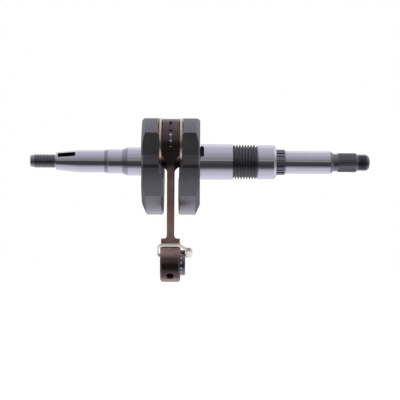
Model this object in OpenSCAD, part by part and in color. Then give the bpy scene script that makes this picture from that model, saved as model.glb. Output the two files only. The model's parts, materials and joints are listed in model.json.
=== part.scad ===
// Built-up crankshaft of a small two-stroke engine, with its connecting rod.
// X runs along the shaft, from the flywheel end (-X) to the drive end (+X).
// The origin is on the shaft's axis, midway between the two webs. Z is up.

/* [Crank] */
// Distance the piston travels, twice the crank throw
stroke = 40; // [34:0.5:48]
// Angle of the crankpin above the -Y direction
crank_angle = 43; // [30:1:60]
// Diameter of the crankpin
pin_d = 20; // [16.5:0.5:24]
// Depth of the crankpin's ends below the webs' outer faces
pin_recess = 0.6; // [0:0.1:1.5]

/* [Webs] */
// Radius of the web discs
web_r = 37.8; // [35:0.2:46]
// Thickness of a web beside the crankpin
web_t = 12.3; // [10:0.05:15]
// Height of the counterweight's inner face above the web's inner face
cw_step = 2.75; // [1:0.05:3]
// Radius of the ear's rim, round the shaft's axis
ear_r = 36.6; // [34.5:0.1:40]
// Distance from the shaft's axis to the two flats beside the ear
flat_r = 29.7; // [28.5:0.1:32]
// Angle between each flat and the crankpin's direction
flat_angle = 47; // [44:1:50]
// Distance from each flat's foot to the corner where the waist begins
ear_corner = 6.1; // [4:0.1:8]
// Depth of the step from each flat into the waist
waist_step = 3.5; // [2.5:0.1:4]
// Distance from the shaft's axis to the bottom of the waist
waist_r = 23.9; // [22.5:0.1:25]
// Radius of the shoulder between the waist and the counterweight's rim
shoulder_r = 87; // [60:1:110]
// Length of the bevel round each web's outer face, along the shaft
web_bevel = 3.2; // [1:0.1:4]
// Length of the same bevel, across the face
web_bevel_r = 7.3; // [2:0.1:9]
// Chamfer on the inner edge of both webs
web_inner_chamfer = 0.9; // [0.3:0.1:1.5]
// Bevel on the outer edges of the flats and of the waist
flat_bevel = 1.1; // [0.3:0.1:1.5]
// Thickness of the web between the crankpin and the shaft's spigot
spigot_wall = 2; // [1.5:0.1:3]
// Largest diameter of the spigot that is pressed into each web
spigot_max_d = 16; // [13.5:0.5:17.5]
// Gap from the rod's big end to the recess wall's foot, all round the pin
recess_gap = 7.8; // [6:0.1:9]
// Distance that the recess wall slopes outwards over its height
recess_slope = 4.2; // [1:0.1:5]

/* [Flywheel side shaft] */
// Diameter of the main bearing seat
fly_bearing_d = 20; // [18:0.5:24]
// Length of the main bearing seat
fly_bearing_l = 10.35; // [8:0.05:14]
// Length of the cone from the bearing seat to the seal seat
fly_cone_l = 3.95; // [2:0.05:6]
// Diameter of the oil seal seat
fly_seal_d = 17; // [15.9:0.1:17.9]
// Length of the oil seal seat
fly_seal_l = 10.3; // [8:0.1:14]
// Length of the relief between the seal seat and the plain journal
fly_relief_l = 2.5; // [1:0.1:4]
// Diameter of the plain journal
fly_journal_d = 15.75; // [15:0.05:16.8]
// Length of the plain journal
fly_journal_l = 18.2; // [14:0.1:22]
// Diameter of the taper's big end
taper_d = 15.6; // [14:0.1:15.7]
// Length over which the taper's diameter falls by 1 mm
taper_ratio = 5; // [5:1:10]
// Length of the flywheel taper
taper_l = 16.5; // [15.5:0.1:20]
// Width of the Woodruff key slot
key_w = 4; // [2:0.5:5]
// Length of the key slot at the taper's surface
key_l = 12.7; // [9:0.1:14]
// Depth of the key slot at its middle
key_depth = 3.8; // [2.5:0.1:4.5]
// Major diameter of the flywheel nut's thread
fly_thread_d = 10; // [8:0.5:12]
// Length of the flywheel nut's thread
fly_thread_l = 15.25; // [12:0.25:20]
// Diameter of the plain point in front of the thread
point_d = 8.2; // [6:0.1:8.4]
// Length of the plain point
point_l = 2; // [1:0.1:4]

/* [Drive side shaft] */
// Diameter of the collar against the web
collar_d = 25.8; // [25.2:0.1:31]
// Length of the collar
collar_l = 1.3; // [0.8:0.05:2.5]
// Diameter of the main bearing seat
drive_bearing_d = 25; // [24.6:0.1:25.6]
// Width of the groove between the web and the collar
web_groove_l = 0.7; // [0.4:0.1:0.8]
// Length of the main bearing seat
drive_bearing_l = 22.3; // [18:0.1:26]
// Width of the pocket milled into the shaft beside the web, across the shaft
pocket_w = 9.6; // [6:0.1:11]
// Angle of the pocket's middle above the -Y direction
pocket_angle = 38; // [20:1:50]
// Depth of the pocket below the collar's surface
pocket_depth = 2.6; // [1.8:0.1:4]
// Reach of the pocket along the shaft, from the web's face
pocket_l = 2.8; // [2:0.1:4]
// Outside diameter of the oil pump worm
worm_d = 24.6; // [23:0.1:25]
// Depth of the worm's thread
worm_depth = 1.55; // [1:0.05:2]
// Lead of the worm's single thread
worm_pitch = 2; // [1.8:0.1:2.5]
// Length of the worm
worm_l = 17.2; // [14:0.1:20]
// Diameter of the drive side oil seal seat
drive_seal_d = 24; // [22:0.5:24.5]
// Length of the drive side oil seal seat
drive_seal_l = 11.7; // [10:0.1:16]
// Outside diameter of the coarse spline
spline_d = 18; // [17:0.1:20]
// Number of teeth on the coarse spline
spline_n = 18; // [16:1:22]
// Length of the coarse spline
spline_l = 6.2; // [3:0.1:8]
// Diameter of the seat for the variator's sleeve
variator_d = 16; // [15:0.5:16.5]
// Length of the seat for the variator's sleeve
variator_l = 31.2; // [26:0.1:38]
// Diameter of the groove between the sleeve's seat and the serration
groove_d = 12.4; // [11.5:0.1:12.5]
// Outside diameter of the fine serration
serration_d = 13.5; // [13:0.1:14.5]
// Number of teeth on the fine serration
serration_n = 36; // [30:1:40]
// Length of the fine serration
serration_l = 12.8; // [8:0.1:15]
// Major diameter of the drive nut's thread
drive_thread_d = 12; // [11:0.5:13]
// Length of the drive nut's thread
drive_thread_l = 6.25; // [5:0.25:12]
// Length of the domed end
dome_l = 2.2; // [2:0.1:4]
// Pitch of both nut threads
thread_pitch = 1.25; // [1:0.25:1.25]

/* [Connecting rod] */
// Distance between the two eyes' axes
rod_l = 85; // [76:0.5:102]
// Width of the big end along the shaft
big_w = 12.8; // [11.5:0.1:15.5]
// Wall of the big end round its roller race
big_wall = 3; // [2.5:0.1:3.6]
// Width of the small end along the shaft
small_w = 14; // [12.5:0.1:16]
// Wall of the small end round its bearing
small_wall = 4.75; // [3.5:0.05:5.5]
// Thickness of the shank along the shaft
shank_t = 4.9; // [4:0.1:6]
// Width of the shank at the small end
shank_small_w = 13; // [11:0.2:15]
// Radius of the fillets between the shank's sides and the big end
flare_r = 5; // [3:0.5:6]
// Depth of the long pocket in each side of the shank
shank_pocket = 1.1; // [0.5:0.1:1.5]
// Width of the rim that stands beside the long pocket
shank_rim = 2.6; // [2:0.1:3.5]
// Width of the hollow round the oil slot in the big end
hollow_w = 3.5; // [3:0.1:4.5]
// Depth of that hollow
hollow_depth = 1.3; // [0.8:0.1:1.6]
// Width of the oil slot
slot_w = 1.7; // [1.2:0.1:2.2]
// Angle of the oil slot above the rod's front
slot_angle = 19.5; // [10:0.5:25]
// Number of oil grooves on each side face of the big end
oil_grooves = 6; // [4:1:6]
// Diameter of the oil holes in the small end
oil_hole_d = 4.6; // [3:0.1:6]
// Angle of the oil holes from the small end's tip
oil_hole_angle = 47; // [40:1:55]

/* [Bearings] */
// Diameter of the big end rollers
big_roller_d = 3; // [2.5:0.1:3.6]
// Length of the big end rollers
big_roller_l = 9.8; // [8:0.1:10.4]
// Diameter of the piston pin that the small end takes
wrist_d = 14; // [12:0.5:17]
// Diameter of the small end rollers
small_roller_d = 2; // [1.7:0.1:2.4]
// Length of the small end bearing's cage
small_cage_l = 17; // [16:0.1:20]
// Distance that the small end cage stands out of the rod on the drive side
small_cage_out = 3.3; // [2:0.1:5]
// Length of the closed ring at each end of the small end cage
small_cage_ring = 1.75; // [1:0.05:2.5]
// Radial clearance of each roller against its two tracks
roller_clear = 0.02; // [0.01:0.01:0.05]
// Clearance between a roller and its pocket in the cage
pocket_clear = 0.06; // [0.03:0.01:0.1]
// Radial clearance of each cage inside its track
cage_clear = 0.1; // [0.05:0.01:0.15]
// Thickness of the thrust washers
washer_t = 1.4; // [1:0.1:1.8]
// Width of the thrust washers' ring
washer_w = 6.4; // [5:0.1:7]
// Side clearance between the rod and each thrust washer
washer_clear = 0.1; // [0.05:0.05:0.3]
// Side clearance between each thrust washer and its web
web_clear = 0.3; // [0.1:0.05:0.5]

/* [Cable tie] */
// Width of the strap
tie_w = 2.5; // [2:0.1:3.6]
// Thickness of the strap
tie_t = 1.1; // [0.8:0.1:1.4]
// Size of the head along the shaft
tie_head = 4.8; // [4:0.1:6]
// Angle of the loop above the -Y direction, round the small end
tie_angle = 57; // [50:1:60]

/* [Hidden] */
$fn = 96;
fine = 0.01;
// Reliefs, run-outs and tooth depths along the two shafts
KEY_MARGIN = 1.2;
NECK_DEPTH = 0.6;
THREAD_GAP = 0.9;
RELIEF_DEPTH = 0.4;
WEB_GROOVE_DEPTH = 1.2;
SPLINE_SHOULDER = 1.6;
SPLINE_DEPTH = 0.85;
SPLINE_RUNOUT = 1.1;
GROOVE_CONE = 2.5;
GROOVE_L = 1.6;
SERRATION_DEPTH = 0.45;
NECK_CONE = 1.1;
NECK_L = 1.6;
DOME_DROP = 0.75;
// Height of the rod's shoulders above the small end's rim
NECK_RISE = 3;
// Distance of the flare's centre from the big end, as a share of its radius
FLARE_SPREAD = 1.36;
// Where the waist's straight side and its shoulder's arc begin and end
WAIST_START = 0.8;
WAIST_END = 3.4;
SHOULDER_FROM = 11.5;
SHOULDER_TO = 33.5;
BIG_ROLLERS = 18;
SMALL_ROLLERS = 16;
function two(i) = str(i < 10 ? "0" : "", i);
BIG_NODES = [for (i = [1:BIG_ROLLERS]) str("big_end_roller_", two(i))];
SMALL_NODES = [for (i = [1:SMALL_ROLLERS]) str("small_end_roller_", two(i))];

steel = "lightsteelblue";
dark_steel = "dimgray";
copper = "rosybrown";
bronze = "peru";
nylon = "ivory";

throw = stroke / 2;
spigot_d = min(spigot_max_d, stroke - pin_d - 2 * spigot_wall);
pin_y = -throw * cos(crank_angle);
pin_z = throw * sin(crank_angle);
small_z = pin_z - rod_l;
pin_r = pin_d / 2;

race_r = pin_r + big_roller_d;
big_r = race_r + big_wall;
big_pitch_r = pin_r + big_roller_d / 2;
small_bore_r = wrist_d / 2 + small_roller_d;
small_r = small_bore_r + small_wall;
small_pitch_r = wrist_d / 2 + small_roller_d / 2;

washer_in = big_w / 2 + washer_clear;
washer_out = washer_in + washer_t;
web_in = washer_out + web_clear;
web_out = web_in + web_t;
cw_in = web_in - cw_step;
recess_r = big_r + recess_gap;
recess_top_r = recess_r + recess_slope;

fly_cone_x = web_out + fly_bearing_l;
fly_seal_x = fly_cone_x + fly_cone_l;
fly_relief_x = fly_seal_x + fly_seal_l;
fly_journal_x = fly_relief_x + fly_relief_l;
taper_x = fly_journal_x + fly_journal_l;
taper_end_x = taper_x + taper_l;
taper_small_d = taper_d - taper_l / taper_ratio;
key_x = taper_end_x - KEY_MARGIN - key_l / 2;
key_surface_r = (taper_d - (key_x - taper_x) / taper_ratio) / 2;
key_cutter_r = (pow(key_l / 2, 2) + pow(key_depth, 2)) / (2 * key_depth);
fly_neck_d = min(fly_thread_d, taper_small_d) - 2 * NECK_DEPTH;
fly_thread_x = taper_end_x + THREAD_GAP;
point_x = fly_thread_x + fly_thread_l;

seat_x = web_out + collar_l;
worm_x = seat_x + drive_bearing_l;
drive_seal_x = worm_x + worm_l;
seal_end_x = drive_seal_x + drive_seal_l;
spline_x = seal_end_x + SPLINE_SHOULDER;
variator_x = spline_x + spline_l + SPLINE_RUNOUT;
variator_end_x = variator_x + variator_l;
groove_x = variator_end_x + GROOVE_CONE;
serration_x = groove_x + 2 * GROOVE_L;
serration_end_x = serration_x + serration_l;
drive_thread_x = serration_end_x + NECK_L;
dome_x = drive_thread_x + drive_thread_l;
spline_core_d = spline_d - 2 * SPLINE_DEPTH;
serration_core_d = serration_d - 2 * SERRATION_DEPTH;
worm_root_d = worm_d - 2 * worm_depth;
neck_d = drive_thread_d - 2 * RELIEF_DEPTH;

big_cage_w = big_w - 0.2;
big_cage_r = race_r - cage_clear;
big_cage_bore_r = pin_r + 0.5;
small_cage_x = small_w / 2 + small_cage_out;
small_cage_r = small_bore_r - cage_clear;
small_cage_bore_r = wrist_d / 2 + 0.05;
small_roller_l = small_cage_l - 2 * small_cage_ring - 0.1;
small_mid_x = small_cage_x - small_cage_l / 2;

// Turns a shape drawn in (y, z) and raised along z so that it lies along X
module along_x() { rotate([90, 0, 90]) children(); }

// Moves a shape to the crankpin's axis
module at_pin() { translate([0, pin_y, pin_z]) children(); }

// Moves a shape to the small end's axis
module at_small_end() { translate([0, pin_y, small_z]) children(); }

// A turned solid about X. Each stop is [position, diameter], from the web outwards
module turned(stops) {
    first = stops[0][0];
    last = stops[len(stops) - 1][0];
    outline = [for (s = stops) [s[1] / 2, s[0]]];
    along_x() rotate_extrude() polygon(concat([[0, first]], outline, [[0, last]]));
}

// Stops of a row of V grooves from x, one for each pitch, between diameters d and root
function grooves(x, l, pitch, d, root, flat) = [
    for (i = [0:floor(l / pitch) - 1], s = [0:3])
        let (at = x + i * pitch + (l - floor(l / pitch) * pitch) / 2)
        s == 0 ? [at + flat, d] :
        s == 1 ? [at + pitch / 2 - flat / 2, root] :
        s == 2 ? [at + pitch / 2 + flat / 2, root] :
        [at + pitch - flat, d]
];

// A ring of n straight teeth, between the core diameter and the outside diameter d
module teeth(x, l, n, d, core) {
    step = 360 / n;
    points = [
        for (i = [0:n - 1], s = [0:3])
            let (r = (s == 1 || s == 2) ? d / 2 : core / 2 - 0.1)
            let (a = step * (i + [0.04, 0.26, 0.58, 0.8][s]))
            [r * cos(a), r * sin(a)]
    ];
    translate([x, 0, 0]) along_x() linear_extrude(l) polygon(points);
}

// Space round the crankpin, between the counterweights, for the rod's big end
module pin_space() {
    at_pin() turned([
        [-web_in, 2 * recess_r], [-cw_in, 2 * recess_top_r],
        [cw_in, 2 * recess_top_r], [web_in, 2 * recess_r]
    ]);
}

// Outline of what is cut off on one side of the ear. Its first direction is the flat's
// normal, and its second runs along the flat towards the counterweight
function bite(side) = [
    for (p = concat(
        [[2 * web_r, -2 * web_r], [flat_r, -2 * web_r]],
        [[flat_r, -ear_corner], [flat_r - waist_step, -ear_corner], [waist_r, WAIST_START]],
        [for (a = [SHOULDER_FROM:2:SHOULDER_TO]) [
            waist_r + shoulder_r * (cos(SHOULDER_FROM) - cos(a)),
            WAIST_END + shoulder_r * (sin(a) - sin(SHOULDER_FROM))
        ]],
        [[2 * web_r, 2 * web_r]]
    )) [p[0], side * p[1]]
];

// Cuts the flat and the waist on one side of the ear, with a bevel at the outer face
module ear_side(side) {
    rotate([180 - crank_angle + side * flat_angle, 0, 0]) along_x() {
        linear_extrude(2 * web_out) polygon(bite(side));
        translate([0, 0, web_out - flat_bevel])
            linear_extrude(2 * flat_bevel, scale = 1 - 2 * flat_bevel / flat_r) polygon(bite(side));
    }
}

// Brings the ear's rim in to its own radius, with a chamfer at its inner edge
module ear_rim() {
    difference() {
        rotate([180 - crank_angle, 0, 0]) translate([0, throw + pin_r / 2, -web_r])
            cube([2 * web_out, 2 * web_r, 2 * web_r]);
        turned([
            [-1, 2 * (ear_r - web_inner_chamfer)], [web_in, 2 * (ear_r - web_inner_chamfer)],
            [web_in + web_inner_chamfer, 2 * ear_r], [3 * web_out, 2 * ear_r]
        ]);
    }
}

// A web on the +X side
module web() {
    difference() {
        turned([
            [cw_in, 2 * (web_r - web_inner_chamfer)],
            [cw_in + web_inner_chamfer, 2 * web_r],
            [web_out - web_bevel, 2 * web_r],
            [web_out, 2 * (web_r - web_bevel_r)]
        ]);
        pin_space();
        ear_side(-1);
        ear_side(1);
        ear_rim();
        at_pin() along_x() cylinder(h = 2 * web_out, r = pin_r);
        along_x() cylinder(h = 2 * web_out, d = spigot_d);
    }
}

module flywheel_side_web() { color(dark_steel) mirror([1, 0, 0]) web(); }

module drive_side_web() { color(dark_steel) web(); }

module key_slot() {
    rotate([180 - crank_angle, 0, 0])
        translate([key_x, key_surface_r - key_depth + key_cutter_r, -key_w / 2])
        cylinder(h = key_w, r = key_cutter_r);
}

// The shaft that carries the flywheel, drawn towards +X and then mirrored
module flywheel_side_shaft() {
    thread_root = fly_thread_d - 1.2 * thread_pitch;
    color(steel) mirror([1, 0, 0]) difference() {
        turned(concat(
            [[cw_in, spigot_d], [web_out, spigot_d], [web_out, fly_bearing_d]],
            [[fly_cone_x, fly_bearing_d], [fly_seal_x, fly_seal_d]],
            [[fly_relief_x - RELIEF_DEPTH, fly_seal_d], [fly_relief_x, fly_seal_d - 2 * RELIEF_DEPTH]],
            [[fly_journal_x - RELIEF_DEPTH, fly_seal_d - 2 * RELIEF_DEPTH], [fly_journal_x, fly_journal_d]],
            [[taper_x, fly_journal_d], [taper_x, taper_d]],
            [[taper_end_x, taper_small_d], [taper_end_x, fly_neck_d]],
            [[fly_thread_x, fly_neck_d]],
            grooves(fly_thread_x, fly_thread_l, thread_pitch, fly_thread_d, thread_root, 0.1),
            [[point_x, point_d], [point_x + point_l - 0.5, point_d]],
            [[point_x + point_l, point_d - 1]]
        ));
        pin_space();
        key_slot();
    }
}

// Pocket milled into the drive side shaft, beside the web, with one round corner
module shaft_pocket() {
    corner = 1.6;
    rotate([-pocket_angle, 0, 0]) translate([web_out, pocket_depth - collar_d / 2, 0])
        rotate([90, 0, 0]) linear_extrude(collar_d) union() {
            translate([0, -pocket_w / 2]) square([pocket_l - corner, pocket_w]);
            translate([0, -pocket_w / 2]) square([pocket_l, pocket_w - corner]);
            translate([pocket_l - corner, pocket_w / 2 - corner]) circle(r = corner);
        }
}

// The shaft that drives the variator and the oil pump
module drive_side_shaft() {
    thread_root = drive_thread_d - 1.2 * thread_pitch;
    dome_d = drive_thread_d - 2 * DOME_DROP;
    dome = [for (a = [15:15:75]) [dome_x + dome_l * sin(a), dome_d * cos(a)]];
    web_groove_d = collar_d - 2 * WEB_GROOVE_DEPTH;
    color(steel) difference() {
        union() {
            turned(concat(
                [[cw_in, spigot_d], [web_out, spigot_d], [web_out, web_groove_d]],
                [[web_out + web_groove_l, web_groove_d], [web_out + web_groove_l, collar_d]],
                [[seat_x, collar_d], [seat_x, drive_bearing_d]],
                [[worm_x - 0.3, drive_bearing_d], [worm_x, worm_d]],
                grooves(worm_x, worm_l - 0.6, worm_pitch, worm_d, worm_root_d, 0.3),
                [[drive_seal_x - 0.6, worm_d - 1], [drive_seal_x, worm_d - 1.6]],
                [[drive_seal_x + 0.4, drive_seal_d], [seal_end_x, drive_seal_d]],
                [[spline_x, spline_d + 2], [spline_x, spline_core_d]],
                [[variator_x - SPLINE_RUNOUT, spline_core_d], [variator_x, variator_d]],
                [[variator_end_x, variator_d], [groove_x, groove_d]],
                [[groove_x + GROOVE_L, groove_d], [serration_x, serration_core_d]],
                [[serration_end_x, serration_core_d], [serration_end_x + NECK_CONE, neck_d]],
                [[drive_thread_x, neck_d]],
                grooves(drive_thread_x, drive_thread_l, thread_pitch, drive_thread_d, thread_root, 0.1),
                [[dome_x, dome_d]], dome
            ));
            teeth(spline_x, spline_l, spline_n, spline_d, spline_core_d);
            teeth(serration_x, serration_l, serration_n, serration_d, serration_core_d);
        }
        pin_space();
        shaft_pocket();
    }
}

// The hardened pin that joins the two webs and carries the rod's rollers
module crankpin() {
    half = web_out - pin_recess;
    color(steel) at_pin() difference() {
        turned([[-half, pin_d - 1.2], [0.6 - half, pin_d], [half - 0.6, pin_d], [half, pin_d - 1.2]]);
        for (side = [0, 1]) mirror([side, 0, 0]) translate([half + fine, 0, 0])
            rotate([0, -90, 0]) cylinder(h = 2, r1 = 2, r2 = 0);
    }
}

// A thrust washer between the rod's big end and a web, on the +X side
module washer() {
    color(bronze) translate([washer_in, pin_y, pin_z]) along_x() difference() {
        cylinder(h = washer_t, r = pin_r + 0.05 + washer_w);
        translate([0, 0, -1]) cylinder(h = washer_t + 2, r = pin_r + 0.05);
    }
}

module flywheel_side_washer() { mirror([1, 0, 0]) washer(); }

module drive_side_washer() { washer(); }

// A roller cage about X: a ring with one round pocket for each roller
module cage(x, l, r, bore_r, pitch_r, n, roller_d, roller_l) {
    pocket_len = roller_l + 2 * pocket_clear;
    translate([x - l / 2, 0, 0]) along_x() difference() {
        cylinder(h = l, r = r);
        translate([0, 0, -1]) cylinder(h = l + 2, r = bore_r);
        for (i = [0:n - 1]) rotate(i * 360 / n)
            translate([pitch_r, 0, (l - pocket_len) / 2])
            cylinder(h = pocket_len, d = roller_d + 2 * pocket_clear, $fn = 32);
    }
}

module roller(x, l, d, pitch_r, angle) {
    chamfer = 0.15;
    rotate([angle, 0, 0]) translate([x, pitch_r, 0]) turned([
        [-l / 2, d - 2 * chamfer], [chamfer - l / 2, d],
        [l / 2 - chamfer, d], [l / 2, d - 2 * chamfer]
    ]);
}

module big_end_cage() {
    color(dark_steel) at_pin() cage(0, big_cage_w, big_cage_r,
        big_cage_bore_r, big_pitch_r, BIG_ROLLERS, big_roller_d, big_roller_l);
}

module big_end_roller(i) {
    color(steel) at_pin() roller(0, big_roller_l,
        big_roller_d - 2 * roller_clear, big_pitch_r, i * 360 / BIG_ROLLERS);
}

module small_end_cage() {
    color(dark_steel) at_small_end() cage(small_mid_x, small_cage_l, small_cage_r,
        small_cage_bore_r, small_pitch_r, SMALL_ROLLERS, small_roller_d, small_roller_l);
}

module small_end_roller(i) {
    color(steel) at_small_end() roller(small_mid_x, small_roller_l,
        small_roller_d - 2 * roller_clear, small_pitch_r, i * 360 / SMALL_ROLLERS);
}

// Side outline of the shank, in (y, z) about the pin: it runs off the big end at a tangent
module shank_outline() {
    slant = atan((big_r - shank_small_w / 2) / (rod_l - small_r));
    polygon([
        [-big_r * cos(slant), -big_r * sin(slant)], [big_r * cos(slant), -big_r * sin(slant)],
        [shank_small_w / 2, small_r - rod_l], [-shank_small_w / 2, small_r - rod_l]
    ]);
}

// Thickness of the shank round the pin: full at the big end, with a fillet to the sides
module shank_flare() {
    far_r = big_r + FLARE_SPREAD * flare_r;
    middle = shank_t / 2 + flare_r;
    first = asin(max(0, (middle - big_w / 2) / flare_r));
    side = [for (i = [0:8]) let (a = first + i * (90 - first) / 8)
        [middle - flare_r * sin(a), 2 * (far_r - flare_r * cos(a))]];
    turned(concat([for (s = side) [-s[0], s[1]]], [for (i = [8:-1:0]) side[i]]));
}

// Edge outline of the shank, in (x, z) about the pin: straight, with fillets at the neck
module shank_edge() {
    foot_r = 2.4;
    half = shank_t / 2;
    foot_z = small_r + NECK_RISE - rod_l + foot_r;
    difference() {
        translate([-big_w / 2, -rod_l]) square([big_w, rod_l - big_r / 2]);
        for (side = [-1, 1]) {
            translate([side * (half + foot_r), foot_z]) circle(r = foot_r);
            translate([side * (half + foot_r + big_w / 2), foot_z])
                square([big_w, 2 * foot_r], center = true);
            translate([side * (half + big_w / 2), (foot_z + big_r) / 2])
                square([big_w, big_r - foot_z], center = true);
        }
    }
}

// A long pocket in one side of the shank, with round ends
module long_pocket() {
    top = -big_r - 14;
    bottom = small_r + 7 - rod_l;
    share = (top - bottom) / (rod_l - small_r);
    bottom_r = shank_small_w / 2 - shank_rim;
    top_r = bottom_r + share * (big_r - shank_small_w / 2);
    translate([shank_t / 2 - shank_pocket, 0, 0]) along_x() linear_extrude(big_w) union() {
        polygon([[-top_r, top], [top_r, top], [bottom_r, bottom], [-bottom_r, bottom]]);
        translate([0, top]) circle(r = top_r);
        translate([0, bottom]) circle(r = bottom_r);
    }
}

// An eye of the rod: a disc about X with chamfered edges
module eye(r, w, chamfer) {
    turned([
        [-w / 2, 2 * (r - chamfer)], [chamfer - w / 2, 2 * r],
        [w / 2 - chamfer, 2 * r], [w / 2, 2 * (r - chamfer)]
    ]);
}

// Oil slot through the big end's wall, in a hollow that narrows towards both ends
module oil_slot() {
    reach = big_r * 0.64;
    rotate([-slot_angle, 0, 0]) {
        difference() {
            rotate([90, 0, 0]) linear_extrude(2 * big_r) polygon([
                [0, -reach], [0.27 * hollow_w, -0.88 * reach], [0.43 * hollow_w, -0.3 * reach],
                [0.5 * hollow_w, 0.2 * reach], [0.26 * hollow_w, 0.72 * reach], [0.2 * hollow_w, reach],
                [-0.2 * hollow_w, reach], [-0.26 * hollow_w, 0.72 * reach], [-0.5 * hollow_w, 0.2 * reach],
                [-0.43 * hollow_w, -0.3 * reach], [-0.27 * hollow_w, -0.88 * reach]
            ]);
            translate([-big_w / 2, 0, 0]) along_x() cylinder(h = big_w, r = big_r - hollow_depth);
        }
        translate([-slot_w / 2, -2 * big_r, -0.86 * reach]) cube([slot_w, 2 * big_r, 1.2 * reach]);
    }
}

// Radial oil grooves across both side faces of the big end
module side_grooves() {
    groove_r = 2.2;
    depth = 0.8;
    for (i = [0:oil_grooves - 1], side = [0, 1]) mirror([side, 0, 0])
        rotate([10 + i * 360 / oil_grooves, 0, 0])
        translate([big_w / 2 - depth + groove_r, 0, 0])
        rotate([90, 0, 0]) cylinder(h = big_r + 1, r = groove_r);
}

// The forged rod: two eyes, a shank with pockets, a square-shouldered neck and oil ways
module connecting_rod() {
    neck_w = small_w - 1;
    neck_top = small_r + NECK_RISE - rod_l;
    color(copper) at_pin() difference() {
        union() {
            eye(big_r, big_w, 0.5);
            translate([0, 0, -rod_l]) eye(small_r, small_w, 1.2);
            translate([-neck_w / 2, -shank_small_w / 2, neck_top - small_r])
                cube([neck_w, shank_small_w, small_r]);
            difference() {
                intersection() {
                    translate([-big_w / 2, 0, 0]) along_x() linear_extrude(big_w) shank_outline();
                    union() {
                        shank_flare();
                        translate([0, big_r, 0]) rotate([90, 0, 0]) linear_extrude(2 * big_r) shank_edge();
                    }
                }
                for (side = [0, 1]) mirror([side, 0, 0]) long_pocket();
            }
        }
        translate([-big_w, 0, 0]) along_x() cylinder(h = 2 * big_w, r = race_r);
        translate([-small_w, 0, -rod_l]) along_x() cylinder(h = 2 * small_w, r = small_bore_r);
        oil_slot();
        side_grooves();
        for (side = [-1, 1]) translate([0, 0, -rod_l]) rotate([side * oil_hole_angle, 0, 0]) {
            translate([0, 0, -2 * small_r]) cylinder(h = 2 * small_r, d = oil_hole_d);
            translate([0, 0, -small_r - 0.1]) cylinder(h = 0.9, d1 = oil_hole_d + 1.8, d2 = oil_hole_d);
        }
    }
}

// A rectangle from (x0, y0) to (x1, y1) with round corners
module round_rect(x0, y0, x1, y1, r) {
    translate([x0 + r, y0]) square([x1 - x0 - 2 * r, y1 - y0]);
    translate([x0, y0 + r]) square([x1 - x0, y1 - y0 - 2 * r]);
    for (x = [x0 + r, x1 - r], y = [y0 + r, y1 - r]) translate([x, y]) circle(r = r);
}

// The tie that keeps the small end bearing in the rod: a loop through the bore
module cable_tie() {
    left = -small_w / 2 - 1.2;
    right = small_cage_x + 0.4;
    inner = sqrt(pow(wrist_d / 2 - 0.3, 2) - pow(tie_w / 2, 2)) - 0.15;
    outer = small_r + 0.6;
    head_l = tie_head + 0.7;
    color(nylon) at_small_end() rotate([90 - tie_angle, 0, 0]) rotate([90, 0, 0]) {
        translate([0, 0, -tie_w / 2]) linear_extrude(tie_w) difference() {
            round_rect(left - tie_t, inner - tie_t, right + tie_t, outer + tie_t, 2.2);
            round_rect(left, inner, right, outer, 1.1);
        }
        translate([right, (inner + outer - head_l) / 2, -tie_head / 2])
            cube([tie_head, head_l, tie_head]);
    }
}

flywheel_side_shaft();
flywheel_side_web();
drive_side_shaft();
drive_side_web();
crankpin();
flywheel_side_washer();
drive_side_washer();
connecting_rod();
big_end_cage();
small_end_cage();
cable_tie();
for (i = [0:BIG_ROLLERS - 1])
    big_end_roller(i);
for (i = [0:SMALL_ROLLERS - 1])
    small_end_roller(i);
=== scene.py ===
"""A small two-stroke engine's crankshaft: ground shafts, dark webs, and a copper-plated rod.

Lengths are in millimetres up to the call that makes a mesh, and in metres from there on.
"""
import json
import math

import bmesh
import bpy
import numpy as np
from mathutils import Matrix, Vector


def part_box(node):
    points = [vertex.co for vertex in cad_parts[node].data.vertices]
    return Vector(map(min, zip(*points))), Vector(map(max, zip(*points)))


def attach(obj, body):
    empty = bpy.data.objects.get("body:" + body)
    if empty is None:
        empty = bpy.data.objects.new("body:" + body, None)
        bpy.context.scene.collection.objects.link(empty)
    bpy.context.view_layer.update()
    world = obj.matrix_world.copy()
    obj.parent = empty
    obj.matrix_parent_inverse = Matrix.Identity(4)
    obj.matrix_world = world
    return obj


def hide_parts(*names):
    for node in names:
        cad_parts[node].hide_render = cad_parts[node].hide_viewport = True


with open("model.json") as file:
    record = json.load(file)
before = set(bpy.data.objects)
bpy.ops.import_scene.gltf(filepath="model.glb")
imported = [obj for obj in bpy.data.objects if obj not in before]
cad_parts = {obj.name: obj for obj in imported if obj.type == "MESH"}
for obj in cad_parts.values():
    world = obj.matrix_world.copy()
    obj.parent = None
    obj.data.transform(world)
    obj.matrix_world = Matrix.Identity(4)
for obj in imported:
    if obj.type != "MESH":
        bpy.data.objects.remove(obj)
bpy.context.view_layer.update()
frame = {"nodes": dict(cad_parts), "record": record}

MM = 0.001
TURN = 2 * math.pi
record = frame["record"]
mounts = {m["name"]: m for m in record["mounts"]}
joints = {j["name"]: j for j in record["behaviour"]["joints"]}


def corners(node):
    """The lowest and highest corner of a CAD node, in millimetres."""
    low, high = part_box(node)
    return np.array(low) / MM, np.array(high) / MM


def seat(name):
    """A mount's start, end and radius along its side of the shaft, in millimetres."""
    mount = mounts[name]
    middle = abs(mount["pos_m"][0]) / MM
    half = mount["dims"]["length_mm"] / 2
    return middle - half, middle + half, mount["dims"]["r_mm"]


# --------------------------------------------------------------- camera, light and floor

CAMERA_AWAY = 1.0
VIEW_WIDTH = 0.2856
VIEW_MIDDLE = (0.0206, -0.02728)
ROLL = math.radians(0.33)
SENSOR = 36.0


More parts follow.
